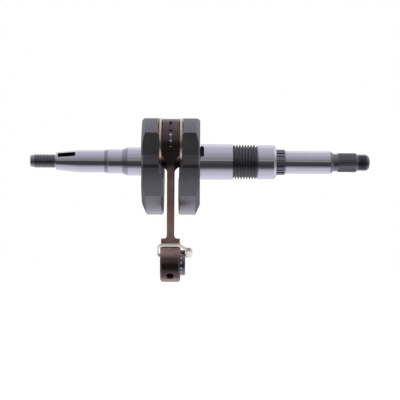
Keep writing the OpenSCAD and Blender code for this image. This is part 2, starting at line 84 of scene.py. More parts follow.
def add_camera():
    """A long lens that looks along +Y at the shaft, very slightly rolled."""
    data = bpy.data.cameras.new("camera")
    data.sensor_width = SENSOR
    data.lens = SENSOR * CAMERA_AWAY / VIEW_WIDTH
    camera = bpy.data.objects.new("camera", data)
    camera.location = (VIEW_MIDDLE[0], -CAMERA_AWAY, VIEW_MIDDLE[1])
    camera.rotation_euler = (math.radians(90), -ROLL, 0)
    bpy.context.collection.objects.link(camera)
    bpy.context.scene.camera = camera


# Brightness of the studio round the shaft, by the angle above the -Y direction in degrees.
# It is a white tent above, behind and below, with a dark opening on the -Y side.
STUDIO = [
    (-180, 0.12), (-172, 0.16), (-164, 0.45), (-154, 0.98), (-122, 0.94), (-110, 0.90),
    (-100, 0.82), (-80, 0.75), (-70, 0.70), (-62, 0.60), (-57, 0.48), (-52, 0.36),
    (-47, 0.24), (-42, 0.11), (-36, 0.055), (-20, 0.058), (2, 0.10), (5.5, 0.13),
    (9, 0.58), (12.5, 0.38), (18, 0.22), (23, 0.32), (30, 0.41), (38, 0.46),
    (50, 0.48), (62, 0.59), (92, 0.71), (102, 0.68), (112, 0.84), (124, 0.97),
    (154, 0.98), (168, 0.30),
]
WARM_LINE = (6, 12)


def add_studio():
    """The world: white to the camera, and a strip-lit tent to everything that reflects it."""
    world = bpy.data.worlds.new("studio")
    bpy.context.scene.world = world
    world.use_nodes = True
    tree = world.node_tree
    tree.nodes.clear()
    new, link = tree.nodes.new, tree.links.new
    where = new("ShaderNodeTexCoord")
    split = new("ShaderNodeSeparateXYZ")
    link(where.outputs["Generated"], split.inputs[0])
    forward = new("ShaderNodeMath")
    forward.operation = "MULTIPLY"
    forward.inputs[1].default_value = -1
    link(split.outputs["Y"], forward.inputs[0])
    angle = new("ShaderNodeMath")
    angle.operation = "ARCTAN2"
    link(split.outputs["Z"], angle.inputs[0])
    link(forward.outputs[0], angle.inputs[1])
    share = new("ShaderNodeMapRange")
    share.inputs["From Min"].default_value = -math.pi
    share.inputs["From Max"].default_value = math.pi
    link(angle.outputs[0], share.inputs["Value"])
    ramp = new("ShaderNodeValToRGB")
    link(share.outputs["Result"], ramp.inputs["Fac"])
    elements = ramp.color_ramp.elements
    while len(elements) > 1:
        elements.remove(elements[-1])
    for i, (degrees, light) in enumerate(STUDIO):
        place = (degrees + 180) / 360
        stop = elements[0] if i == 0 else elements.new(place)
        stop.position = place
        warm = WARM_LINE[0] <= degrees <= WARM_LINE[1]
        stop.color = (light * (1.08 if warm else 0.96), light * (1.02 if warm else 0.95),
                      light * (0.76 if warm else 1.08), 1)
    # towards the shaft's own ends the strips close up into an even grey
    end = new("ShaderNodeMath")
    end.operation = "ABSOLUTE"
    link(split.outputs["X"], end.inputs[0])
    fade = new("ShaderNodeMapRange")
    fade.interpolation_type = "SMOOTHSTEP"
    fade.inputs["From Min"].default_value = 0.80
    fade.inputs["From Max"].default_value = 0.985
    link(end.outputs[0], fade.inputs["Value"])
    ends = new("ShaderNodeMix")
    ends.data_type = "RGBA"
    ends.inputs["B"].default_value = (0.42, 0.42, 0.44, 1)
    link(fade.outputs["Result"], ends.inputs["Factor"])
    link(ramp.outputs["Color"], ends.inputs["A"])
    path = new("ShaderNodeLightPath")
    seen = new("ShaderNodeMix")
    seen.data_type = "RGBA"
    seen.inputs["B"].default_value = (1, 1, 1, 1)
    link(path.outputs["Is Camera Ray"], seen.inputs["Factor"])
    link(ends.outputs["Result"], seen.inputs["A"])
    shine = new("ShaderNodeBackground")
    link(seen.outputs["Result"], shine.inputs["Color"])
    out = new("ShaderNodeOutputWorld")
    link(shine.outputs[0], out.inputs["Surface"])


def add_light(name, place, size, watts):
    """A soft rectangular light that points down, and isn't seen itself."""
    data = bpy.data.lights.new(name, "AREA")
    data.shape = "RECTANGLE"
    data.size, data.size_y = size
    data.energy = watts
    light = bpy.data.objects.new(name, data)
    light.location = place
    light.visible_camera = False
    light.visible_glossy = False
    bpy.context.collection.objects.link(light)


FLOOR_Z = -0.30
FLOOR_REACH = 4.0


def add_floor():
    """A plain white floor, well below the shaft."""
    square = [(-1, -1), (1, -1), (1, 1), (-1, 1)]
    mesh = bpy.data.meshes.new("floor")
    spread = [(x * FLOOR_REACH, y * FLOOR_REACH, FLOOR_Z) for x, y in square]
    mesh.from_pydata(spread, [], [(0, 1, 2, 3)])
    floor = bpy.data.objects.new("floor", mesh)
    bpy.context.collection.objects.link(floor)
    material = bpy.data.materials.new("plain white floor")
    material.use_nodes = True
    shader = material.node_tree.nodes["Principled BSDF"]
    shader.inputs["Base Color"].default_value = (0.9, 0.9, 0.9, 1)
    shader.inputs["Roughness"].default_value = 0.9
    shader.inputs["Emission Color"].default_value = (1, 1, 1, 1)
    shader.inputs["Emission Strength"].default_value = 0.75
    mesh.materials.append(material)
    floor.visible_glossy = False


bpy.context.scene.view_settings.view_transform = "Standard"
add_camera()
add_studio()
add_light("soft box above", (0.02, 0.05, 0.75), (1.2, 0.7), 0.5)
add_floor()


# --------------------------------------------------------------- shared shader groups

def math_node(tree, operation, a, b):
    """A math node on two sockets or numbers. It returns its output."""
    node = tree.nodes.new("ShaderNodeMath")
    node.operation = operation
    for i, value in enumerate((a, b)):
        if isinstance(value, (int, float)):
            node.inputs[i].default_value = value
        else:
            tree.links.new(value, node.inputs[i])
    return node.outputs[0]


def noise_node(tree, vector, scale, detail, roughness=0.55):
    """A noise texture on a vector. It returns its value."""
    node = tree.nodes.new("ShaderNodeTexNoise")
    node.inputs["Scale"].default_value = scale
    node.inputs["Detail"].default_value = detail
    node.inputs["Roughness"].default_value = roughness
    tree.links.new(vector, node.inputs["Vector"])
    return node.outputs["Fac"]


def squeezed(tree, vector, sizes):
    """A vector multiplied by a size along each axis."""
    node = tree.nodes.new("ShaderNodeMapping")
    node.vector_type = "POINT"
    node.inputs["Scale"].default_value = sizes
    tree.links.new(vector, node.inputs["Vector"])
    return node.outputs["Vector"]


def range_node(tree, value, low, high, to_low=0.0, to_high=1.0):
    """value, taken from low..high to to_low..to_high, and held at the ends."""
    node = tree.nodes.new("ShaderNodeMapRange")
    for name, number in (("From Min", low), ("From Max", high),
                         ("To Min", to_low), ("To Max", to_high)):
        node.inputs[name].default_value = number
    tree.links.new(value, node.inputs["Value"])
    return node.outputs["Result"]


def mix_colours(tree, share, a, b):
    """A colour between a and b, each a socket or a colour. share is a socket."""
    node = tree.nodes.new("ShaderNodeMix")
    node.data_type = "RGBA"
    tree.links.new(share, node.inputs["Factor"])
    for name, value in (("A", a), ("B", b)):
        if isinstance(value, tuple):
            node.inputs[name].default_value = (*value, 1)
        else:
            tree.links.new(value, node.inputs[name])
    return node.outputs["Result"]


def new_group(name, *masks):
    """A node group that puts out named masks. It returns the tree, the object's own
    coordinates in it, and its output node.
    """
    tree = bpy.data.node_groups.new(name, "ShaderNodeTree")
    for mask in masks:
        tree.interface.new_socket(mask, in_out="OUTPUT", socket_type="NodeSocketFloat")
    place = tree.nodes.new("ShaderNodeTexCoord").outputs["Object"]
    return tree, place, tree.nodes.new("NodeGroupOutput")


def grinding_group():
    """Fine rings about the X axis, as a grinding wheel leaves them, and a film of oil.

    Rings is noise that changes quickly along X and slowly round it; Film is slow noise.
    """
    tree, place, out = new_group("grinding rings", "Rings", "Film")
    fine = noise_node(tree, squeezed(tree, place, (9000, 90, 90)), 1.0, 2.0)
    broad = noise_node(tree, squeezed(tree, place, (1600, 40, 40)), 1.0, 2.0)
    rings = math_node(tree, "ADD", math_node(tree, "MULTIPLY", fine, 0.6),
                      math_node(tree, "MULTIPLY", broad, 0.4))
    film = noise_node(tree, squeezed(tree, place, (1, 2.2, 2.2)), 95, 4.0)
    tree.links.new(rings, out.inputs["Rings"])
    tree.links.new(film, out.inputs["Film"])
    return tree


def turning_group():
    """Tool marks on a face that is turned about X: noise of the distance from the axis.

    Tool is that noise; Mottle is a slow stain; Grit is fine noise, as a forging has.
    """
    tree, place, out = new_group("turning marks", "Tool", "Mottle", "Grit")
    split = tree.nodes.new("ShaderNodeSeparateXYZ")
    tree.links.new(place, split.inputs[0])
    flat = tree.nodes.new("ShaderNodeCombineXYZ")
    tree.links.new(split.outputs["Y"], flat.inputs["X"])
    tree.links.new(split.outputs["Z"], flat.inputs["Y"])
    length = tree.nodes.new("ShaderNodeVectorMath")
    length.operation = "LENGTH"
    tree.links.new(flat.outputs[0], length.inputs[0])
    marks = tree.nodes.new("ShaderNodeCombineXYZ")
    tree.links.new(math_node(tree, "MULTIPLY", length.outputs["Value"], 3200), marks.inputs["X"])
    tree.links.new(math_node(tree, "MULTIPLY", split.outputs["X"], 3200), marks.inputs["Y"])
    tree.links.new(noise_node(tree, marks.outputs[0], 1.0, 2.0), out.inputs["Tool"])
    tree.links.new(noise_node(tree, place, 70, 4.0), out.inputs["Mottle"])
    tree.links.new(noise_node(tree, place, 1900, 3.0, 0.7), out.inputs["Grit"])
    return tree


def height_zones_group():
    """Darker and lighter zones on the rod and the webs, by the height above the shaft's axis.

    Each mask is the share of the way between two heights. The first covers the big end, where it
    stands for a darker finish and for painted shade, and a band of painted shade across the small
    end eye; the second grows down the shank, which it makes lighter; the third is painted shade
    across the web's waist.
    """
    tree, place, out = new_group("height zones", "EndsFinishAndShade", "LowerShank", "WaistShade")
    split = tree.nodes.new("ShaderNodeSeparateXYZ")
    tree.links.new(place, split.inputs[0])
    wander = noise_node(tree, place, 240, 2.0)
    height = math_node(tree, "ADD", split.outputs["Z"],
                       math_node(tree, "MULTIPLY", math_node(tree, "SUBTRACT", wander, 0.5), 0.0022))

    def between(low, high):
        """The share of the way from low to high, in millimetres above the shaft's axis."""
        return range_node(tree, height, low * MM, high * MM)

    # the big end: a darker finish and painted shade; the small end eye: a band of painted shade
    big = between(PIN[2] - 20.5, PIN[2] - 16.5)
    eye = math_node(tree, "MULTIPLY", between(EYE[2] + 7.5, EYE[2] + 3.2),
                    between(EYE[2] - 12.0, EYE[2] - 9.5))
    tree.links.new(math_node(tree, "MAXIMUM", big, eye), out.inputs["EndsFinishAndShade"])
    # lighter further down the shank
    tree.links.new(between(PIN[2] - 36, PIN[2] - 50), out.inputs["LowerShank"])
    # a band of painted shade across the web's waist
    waist = math_node(tree, "MULTIPLY", between(-2.0, -3.6), between(-15.0, -5.0))
    tree.links.new(waist, out.inputs["WaistShade"])
    return tree


PIN = np.array(joints["rod_swing"]["pos_m"]) / MM
EYE = np.array(joints["small_cage_spin"]["pos_m"]) / MM
GROUPS = {"grinding": grinding_group(), "turning": turning_group(), "zones": height_zones_group()}


def new_material(name, **fixed):
    """A material with a Principled shader. fixed sets its sockets that don't vary."""
    material = bpy.data.materials.new(name)
    material.use_nodes = True
    tree = material.node_tree
    shader = tree.nodes["Principled BSDF"]
    for key, value in fixed.items():
        shader.inputs[key.replace("_", " ")].default_value = value
    return material, tree, shader


def use_group(tree, name):
    """A shared group, placed in a material."""
    node = tree.nodes.new("ShaderNodeGroup")
    node.node_tree = GROUPS[name]
    return node.outputs


def bump(tree, shader, height, distance, strength=1.0):
    """Feeds a height through a Bump node into the shader's normal."""
    node = tree.nodes.new("ShaderNodeBump")
    node.inputs["Distance"].default_value = distance
    node.inputs["Strength"].default_value = strength
    tree.links.new(height, node.inputs["Height"])
    tree.links.new(node.outputs["Normal"], shader.inputs["Normal"])


def shaft_steel():
    """Ground steel, darker where the attribute cut says that a hob or die has been. Where cut is above 1,
    in the key slot and the pocket, it is painted nearly black as painted shade.
    """
    material, tree, shader = new_material("ground shaft steel", Metallic=1.0)
    marks = use_group(tree, "grinding")
    cut = tree.nodes.new("ShaderNodeAttribute")
    cut.attribute_name = "cut"
    ground = mix_colours(tree, marks["Film"], (0.62, 0.61, 0.66), (0.70, 0.69, 0.74))
    dark = mix_colours(tree, marks["Film"], (0.15, 0.15, 0.165), (0.23, 0.225, 0.24))
    colour = mix_colours(tree, cut.outputs["Fac"], ground, dark)
    # painted shade: where cut is above 1, in the key slot and the pocket, the colour goes towards black
    colour = mix_colours(tree, range_node(tree, cut.outputs["Fac"], 1.0, 2.0), colour, (0.03, 0.03, 0.034))
    tree.links.new(colour, shader.inputs["Base Color"])
    smooth = range_node(tree, marks["Rings"], 0.3, 0.7, 0.13, 0.22)
    rough = math_node(tree, "ADD", smooth, math_node(tree, "MULTIPLY", cut.outputs["Fac"], 0.18))
    tree.links.new(rough, shader.inputs["Roughness"])
    bump(tree, shader, marks["Rings"], 0.000004)
    return material


def web_steel():
    """Heat-treated steel, nearly black, with tool marks, a slight stain, and painted shade across its
    waist.
    """
    material, tree, shader = new_material(
        "dark web steel", Metallic=1.0, Coat_Weight=1.0, Coat_Roughness=0.22, Coat_IOR=1.5)
    marks = use_group(tree, "turning")
    zones = use_group(tree, "zones")
    unshaded_web = mix_colours(tree, marks["Mottle"], (0.17, 0.165, 0.172), (0.25, 0.24, 0.255))
    # painted shade: the waist is darkened three quarters of the way to near black
    share = math_node(tree, "MULTIPLY", zones["WaistShade"], 0.75)
    colour = mix_colours(tree, share, unshaded_web, (0.075, 0.072, 0.068))
    tree.links.new(colour, shader.inputs["Base Color"])
    rough = math_node(tree, "ADD", range_node(tree, marks["Mottle"], 0.3, 0.7, 0.30, 0.40),
                      range_node(tree, marks["Tool"], 0.3, 0.7, -0.03, 0.05))
    tree.links.new(rough, shader.inputs["Roughness"])
    height = math_node(tree, "ADD", math_node(tree, "MULTIPLY", marks["Tool"], 0.7),
                       math_node(tree, "MULTIPLY", marks["Grit"], 0.3))
    bump(tree, shader, height, 0.00001)
    return material


def copper_plating():
    """Dull copper plating on a forging: brown stains over a pinkish grey, with fine grit.

    Near both bearings it is darker, smoother and more metallic: on the big end partly a darker finish and
    partly painted shade, across the small end eye painted shade. It is lighter further down the shank.
    """
    material, tree, shader = new_material("dull copper plating")
    marks = use_group(tree, "turning")
    zones = use_group(tree, "zones")
    stain = range_node(tree, marks["Mottle"], 0.35, 0.65)
    upper = mix_colours(tree, stain, (0.20, 0.105, 0.085), (0.29, 0.19, 0.17))
    lower = mix_colours(tree, stain, (0.32, 0.19, 0.15), (0.44, 0.32, 0.28))
    # the plating is lighter further down the shank
    plated = mix_colours(tree, zones["LowerShank"], upper, lower)
    ends_finish_and_shade = mix_colours(tree, stain, (0.115, 0.082, 0.074), (0.155, 0.120, 0.112))
    # darker plating on the big end, partly a darker finish and partly painted shade, and painted shade
    # across the small end eye
    tree.links.new(mix_colours(tree, zones["EndsFinishAndShade"], plated, ends_finish_and_shade), shader.inputs["Base Color"])
    tree.links.new(range_node(tree, zones["EndsFinishAndShade"], 0, 1, 0.75, 1.0), shader.inputs["Metallic"])
    rough = math_node(tree, "SUBTRACT", range_node(tree, marks["Grit"], 0.3, 0.7, 0.36, 0.50),
                      math_node(tree, "MULTIPLY", zones["EndsFinishAndShade"], 0.15))
    tree.links.new(rough, shader.inputs["Roughness"])
    bump(tree, shader, marks["Grit"], 0.00003)
    return material


def bronze():
    """Satin copper-bronze of the thrust washers."""
    material, tree, shader = new_material("washer bronze", Metallic=1.0)
    marks = use_group(tree, "turning")
    colour = mix_colours(tree, marks["Mottle"], (0.78, 0.56, 0.40), (0.90, 0.74, 0.58))
    tree.links.new(colour, shader.inputs["Base Color"])
    tree.links.new(range_node(tree, marks["Tool"], 0.3, 0.7, 0.24, 0.36), shader.inputs["Roughness"])
    bump(tree, shader, marks["Tool"], 0.000008)
    return material


def roller_steel():
    """Lapped roller steel."""
    material, tree, shader = new_material("lapped roller steel", Metallic=1.0)
    marks = use_group(tree, "grinding")
    colour = mix_colours(tree, marks["Film"], (0.74, 0.74, 0.78), (0.84, 0.84, 0.87))
    tree.links.new(colour, shader.inputs["Base Color"])
    tree.links.new(range_node(tree, marks["Rings"], 0.3, 0.7, 0.10, 0.18), shader.inputs["Roughness"])
    bump(tree, shader, marks["Rings"], 0.000002)
    return material


def cage_steel():
    """Hardened cage steel, dark and bluish."""
    material, tree, shader = new_material("dark cage steel", Metallic=1.0)
    marks = use_group(tree, "grinding")
    colour = mix_colours(tree, marks["Film"], (0.17, 0.165, 0.22), (0.27, 0.27, 0.33))
    tree.links.new(colour, shader.inputs["Base Color"])
    tree.links.new(range_node(tree, marks["Rings"], 0.3, 0.7, 0.26, 0.38), shader.inputs["Roughness"])
    bump(tree, shader, marks["Rings"], 0.000006)
    return material


def natural_nylon():
    """Natural nylon, cream white."""
    material, tree, shader = new_material("natural nylon", IOR=1.53)
    marks = use_group(tree, "turning")
    colour = mix_colours(tree, marks["Mottle"], (0.80, 0.75, 0.62), (0.88, 0.84, 0.73))
    tree.links.new(colour, shader.inputs["Base Color"])
    tree.links.new(range_node(tree, marks["Grit"], 0.3, 0.7, 0.38, 0.50), shader.inputs["Roughness"])
    bump(tree, shader, marks["Grit"], 0.00002)
    return material


MATERIALS = {
    "ground_steel": shaft_steel(),
    "blackened_steel": web_steel(),
    "copper_plated_forging": copper_plating(),
    "bronze": bronze(),
    "roller_steel": roller_steel(),
    "cage_steel": cage_steel(),
    "nylon": natural_nylon(),
}


def finish_cad_nodes():
    """Gives each CAD node the material of its slot in the record."""
    for part in record["subparts"]:
        node = frame["nodes"][part["node"]]
        material = MATERIALS[part["material_slot"]]
        for place in node.material_slots:
            place.material = material
        if not node.material_slots:
            node.data.materials.append(material)


# --------------------------------------------------------------- turned shafts

WEB_LOW, WEB_HIGH = corners("drive_side_web")
WEB_OUT = WEB_HIGH[0]
CW_IN = WEB_LOW[0]
WASHER_OUT = corners("drive_side_washer")[1][0]
WASHER_PLAY = 0.3
WEB_IN = WASHER_OUT + WASHER_PLAY
BIG_R = (corners("connecting_rod")[1][1] - corners("connecting_rod")[0][1]) / 2
RECESS_ROOM, RECESS_SLOPE = 7.8, 4.2
RECESS_R = BIG_R + RECESS_ROOM
RECESS_TOP_R = RECESS_R + RECESS_SLOPE
SPIGOT_R = 8.0


def recess_face(y, z):
    """Height of a web's inner face: the floor near the pin, then a cone up to the counterweight."""
    away = np.hypot(y - PIN[1], z - PIN[2])
    rise = np.clip((away - RECESS_R) / (RECESS_TOP_R - RECESS_R), 0, 1)
    return WEB_IN - rise * (WEB_IN - CW_IN)


class Turned:
    """A shaft as rows of points round the X axis, each row with one more column than needed.

    Row by row, a point is (side * x, r * cos(angle), r * sin(angle)). The first and last
    columns meet at the same angle, and are welded, so that a screw's rows may climb
    by one pitch over a turn.
    """

    def __init__(self, side, columns):
        self.side = side
        self.angle = np.linspace(0, TURN, columns + 1)
        self.x, self.r, self.cut = [], [], []

    def row(self, x, r, cut=0.0):
        """A row at x with radius r. Each may be one number or an array over the columns."""
        for rows, value in ((self.x, x), (self.r, r), (self.cut, cut)):
            rows.append(np.broadcast_to(np.asarray(value, float), self.angle.shape))

    def rings(self, stops, cut=0.0):
        """Plain rows at each (x, r)."""
        for x, r in stops:
            self.row(x, r, cut)

    def screw(self, start, end, pitch, profile, lead_in=0.0, lead_out=0.0, cut=1.0):
        """A right-hand screw from start to end.

        profile is a list of (share of the pitch, radius) over one turn. Its rows climb by
        pitch * angle / turn, are held between start and end, and are cut down to a cone
        of lead_in or lead_out at each end.
        """
        climb = self.side * pitch * self.angle / TURN
        shares = np.array([p[0] for p in profile])
        radii = np.array([p[1] for p in profile])
        first = math.floor((start - pitch) / pitch) - 1
        last = math.ceil((end + pitch) / pitch) + 1
        top = radii.max()
        for turn in range(first, last):
            for share in shares:
                x = np.clip((turn + share) * pitch + climb, start, end)
                phase = ((x - climb) / pitch) % 1.0
                r = np.interp(phase, shares, radii, period=1.0)
                r = np.minimum(r, top - np.maximum(lead_in - (x - start), 0))
                r = np.minimum(r, top - np.maximum(lead_out - (end - x), 0))
                self.row(x, r, cut)

    def teeth(self, start, end, count, tip, core, cut=1.0, bevel=0.25):
        """Straight teeth: the radius runs core, flank, tip, flank over each tooth's angle."""
        phase = (self.angle * count / TURN) % 1.0
        across = np.interp(phase, [0.0, 0.06, 0.20, 0.60, 0.74, 1.0], [0, 0, 1, 1, 0, 0])
        radius = core + (tip - core) * across
        low = np.minimum(radius, tip - bevel)
        for x, r in ((start, low), (start + bevel, radius), (end - bevel, radius), (end, low)):
            self.row(x, r, cut)

    def inner_end(self, r, steps=8):
        """Starts the shaft inside a web: its end face follows the recess round the crankpin."""
        for share in np.linspace(0, 1, steps + 1):
            y = r * share * np.cos(self.angle)
            z = r * share * np.sin(self.angle)
            self.row(recess_face(y, z), r * share)

    def build(self, name):
        """Welds the rows into one closed mesh with outward faces and sharp turned corners."""
        x, r, cut = (np.array(rows) for rows in (self.x, self.r, self.cut))
        points = np.stack([self.side * x, r * np.cos(self.angle), r * np.sin(self.angle)], axis=-1)
        rows, columns = x.shape
        index = np.arange(rows * columns).reshape(rows, columns)
        quads = np.stack([index[:-1, :-1], index[:-1, 1:], index[1:, 1:], index[1:, :-1]], axis=-1)
        worked = (cut[:-1, :-1] + cut[1:, :-1]) / 2
        return make_piece(name, points.reshape(-1, 3), quads.reshape(-1, 4), worked.ravel())


WELD = 0.0005
SHARP = math.radians(35)


def make_piece(name, points, faces, cut):
    """A mesh object from points in millimetres. cut is how far each face has been worked; a value above 1
    stands for painted shade.
    """
    mesh = bpy.data.meshes.new(name)
    mesh.from_pydata((points * MM).tolist(), [], faces.tolist())
    attribute = mesh.attributes.new("cut", "FLOAT", "FACE")
    attribute.data.foreach_set("value", cut.astype(np.float32))
    shell = bmesh.new()
    shell.from_mesh(mesh)
    bmesh.ops.remove_doubles(shell, verts=shell.verts, dist=WELD * MM)
    bmesh.ops.recalc_face_normals(shell, faces=shell.faces)
    shell.to_mesh(mesh)
    shell.free()
    mesh.shade_smooth()
    mesh.set_sharp_from_angle(angle=SHARP)
    piece = bpy.data.objects.new(name, mesh)
    bpy.context.collection.objects.link(piece)
    return piece


def combine(piece, cutter, operation="DIFFERENCE"):
    """Takes the cutter's space out of the piece, or adds it, and removes the cutter."""
    step = piece.modifiers.new("cut", "BOOLEAN")
    step.operation = operation
    step.solver = "EXACT"
    step.object = cutter
    bpy.context.view_layer.update()
    graph = bpy.context.evaluated_depsgraph_get()
    made = bpy.data.meshes.new_from_object(piece.evaluated_get(graph), depsgraph=graph)
    piece.modifiers.clear()
    old = piece.data
    piece.data = made
    made.name = old.name
    bpy.data.meshes.remove(old)
    blade = cutter.data
    bpy.data.objects.remove(cutter)
    bpy.data.meshes.remove(blade)
    made.shade_smooth()
    made.set_sharp_from_angle(angle=SHARP)


def prism(name, outline, thickness, place, cut=0.0):
    """A solid between two copies of an outline, thickness apart. place turns it into 3-D."""
    n = len(outline)
    flat = np.array(outline, float)
    half = thickness / 2
    points = np.vstack([np.column_stack([flat, np.full(n, h)]) for h in (-half, half)])
    mesh = bpy.data.meshes.new(name)
    sides = [(i, (i + 1) % n, n + (i + 1) % n, n + i) for i in range(n)]
    ends = [tuple(range(n))[::-1], tuple(range(n, 2 * n))]
    mesh.from_pydata((place(points) * MM).tolist(), [], ends + sides)
    attribute = mesh.attributes.new("cut", "FLOAT", "FACE")
    attribute.data.foreach_set("value", np.full(len(mesh.polygons), cut, np.float32))
    shell = bmesh.new()
    shell.from_mesh(mesh)
    bmesh.ops.recalc_face_normals(shell, faces=shell.faces)
    shell.to_mesh(mesh)
    shell.free()
    piece = bpy.data.objects.new(name, mesh)
    bpy.context.collection.objects.link(piece)
    return piece


CRANK_ANGLE = math.atan2(PIN[2], -PIN[1])
QUARTER = np.radians(np.arange(0, 91, 10))
V_THREAD = 1.25
THREAD_DEPTH = 0.6 * V_THREAD

# Sizes of the flywheel side shaft beyond the seats that the record gives
TAPER_LENGTH = 16.5
TAPER_R, TAPER_SLOPE = 7.8, 0.1
TAPER_CHAMFER = 0.25
FLY_THREAD_R = 5.0
FLY_NECK_R = 4.4
POINT_LENGTH = 2.0
POINT_R = 4.1
KEY_LENGTH, KEY_DEPTH, KEY_WIDTH = 12.7, 3.8, 4.0

# Sizes of the drive side shaft beyond the same
COLLAR_R, GROOVE_BY_WEB_R = 12.9, 11.7
WORM_R, WORM_DEPTH, WORM_PITCH = 12.3, 1.55, 2.0
SPLINE_TEETH, SPLINE_R, SPLINE_CORE_R = 18, 9.0, 8.15
SERRATION_TEETH, SERRATION_R, SERRATION_CORE_R = 36, 6.75, 6.3
SERRATION_LENGTH = 12.8
GROOVE_R, GROOVE_CONE, GROOVE_LENGTH = 6.2, 2.5, 1.6
NECK_R, NECK_CONE = 5.6, 1.1
DRIVE_THREAD_R, DRIVE_THREAD_LENGTH = 6.0, 6.25
DOME_R = 5.25
POCKET_CORNER, POCKET_WIDTH, POCKET_REACH = 1.6, 9.6, 2.8
POCKET_TILT, POCKET_DEPTH = math.radians(38), 2.6


def nut_thread(r):
    """Profile of a V thread: a narrow crest and a wider, rounded root."""
    root = r - THREAD_DEPTH
    return [(0.0, r), (0.11, r), (0.40, root + 0.08), (0.48, root), (0.63, root), (0.71, root + 0.08)]


def flywheel_shaft():
    """The flywheel side shaft: seats, cone, taper with its key slot, thread and plain point."""
    shaft = Turned(-1, 144)
    bearing = seat("flywheel_bearing_seat")
    seal = seat("flywheel_seal_seat")
    journal = seat("flywheel_plain_journal")
    end = -corners("flywheel_side_shaft")[0][0]
    taper_end = journal[1] + TAPER_LENGTH
    thread_start, thread_end = taper_end + 0.9, end - POINT_LENGTH
    shaft.inner_end(SPIGOT_R)
    shaft.rings([(WEB_OUT - 0.1, SPIGOT_R), (WEB_OUT, SPIGOT_R), (WEB_OUT, bearing[2] - 0.15),
                 (WEB_OUT + 0.15, bearing[2]), (bearing[1], bearing[2])])
    shaft.rings([(bearing[1] + 0.01, bearing[2]), (seal[0] - 0.01, seal[2])], 0.55)
    shaft.rings([(seal[0], seal[2]), (seal[1], seal[2])])
    shaft.rings([(seal[1] + 0.4, seal[2] - 0.4), (journal[0] - 0.4, seal[2] - 0.4),
                 (journal[0] - 0.01, journal[2])], 0.6)
    small_r = TAPER_R - TAPER_SLOPE * (TAPER_LENGTH - TAPER_CHAMFER)
    shaft.rings([(journal[0], journal[2]), (journal[1] - 0.05, journal[2]), (journal[1], TAPER_R),
                 (taper_end - TAPER_CHAMFER, small_r), (taper_end, small_r - 0.275)])
    shaft.rings([(taper_end, FLY_NECK_R + 0.05), (thread_start, FLY_NECK_R)], 0.8)
    shaft.screw(thread_start, thread_end, V_THREAD, nut_thread(FLY_THREAD_R), 0.5, 0.9, 0.72)
    shaft.rings([(thread_end, POINT_R), (end - 0.5, POINT_R), (end, POINT_R - 0.5), (end, 1.4)], 0.75)
    shaft.rings([(end - 1.2, 0.2), (end - 1.3, 0)], 0.6)
    piece = shaft.build("flywheel_shaft_ground")
    key_x = taper_end - 1.2 - KEY_LENGTH / 2
    surface = TAPER_R - TAPER_SLOPE * (key_x - journal[1])
    cutter_r = ((KEY_LENGTH / 2) ** 2 + KEY_DEPTH ** 2) / (2 * KEY_DEPTH)
    around = np.linspace(0, TURN, 96, endpoint=False)
    outline = np.column_stack([cutter_r * np.cos(around), cutter_r * np.sin(around)])
    out = surface - KEY_DEPTH + cutter_r

    def place(p):
        """Stands the cutter disc in the plane of the shaft and the crankpin."""
        along, up, across = -(key_x + p[:, 0]), out + p[:, 1], p[:, 2]
        c, s = math.cos(CRANK_ANGLE), math.sin(CRANK_ANGLE)
        return np.column_stack([along, -c * up + s * across, s * up + c * across])

    # the key slot's faces carry 1.8: painted shade, most of the way to black
    combine(piece, prism("key_cutter", outline, KEY_WIDTH, place, 1.8))
    return piece


